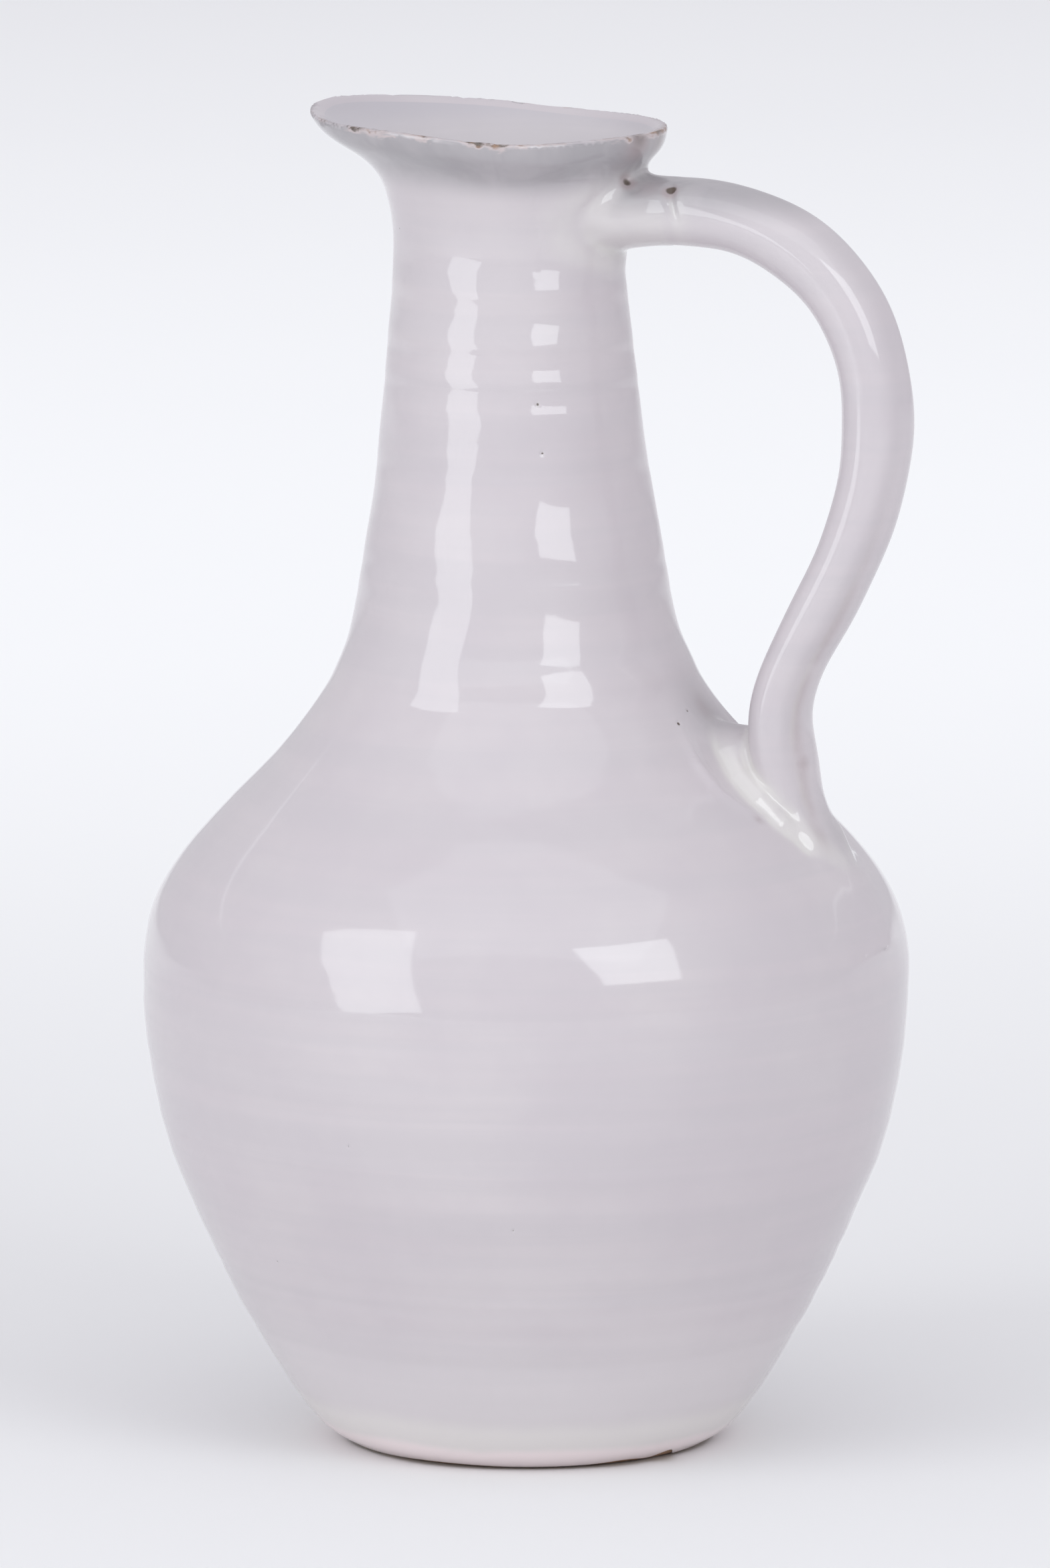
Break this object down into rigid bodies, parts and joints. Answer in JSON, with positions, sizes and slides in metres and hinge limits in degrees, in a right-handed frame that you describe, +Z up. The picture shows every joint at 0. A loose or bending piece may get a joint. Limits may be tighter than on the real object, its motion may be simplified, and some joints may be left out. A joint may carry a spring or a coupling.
{
  "type": "pitcher",
  "caption": "Hand-thrown ceramic pitcher with a round belly, tall neck, flared pouring lip and a pulled strap handle, covered in glossy pale glaze.",
  "frame": {"origin": "centre of the foot's resting face", "axes": "+Z up through the belly and neck, +X towards the handle, -X towards the drawn-out pouring lip"},
  "size_m": [0.2056, 0.2, 0.349],
  "materials": {
    "fired_clay": "bare fired brown stoneware, matt and slightly gritty",
    "outer_glaze": "glossy pale lilac-white glaze, cream where it pools, brown where it thins on the lip",
    "liner_glaze": "glossy pale grey-white liner glaze"
  },
  "bodies": {
    "root": {"body": "fired_clay", "neck": "fired_clay", "handle": "fired_clay", "upper_handle_wad": "fired_clay", "lower_handle_coil": "fired_clay", "outer_glaze": "outer_glaze", "liner_glaze": "liner_glaze"}
  },
  "joints": []
}
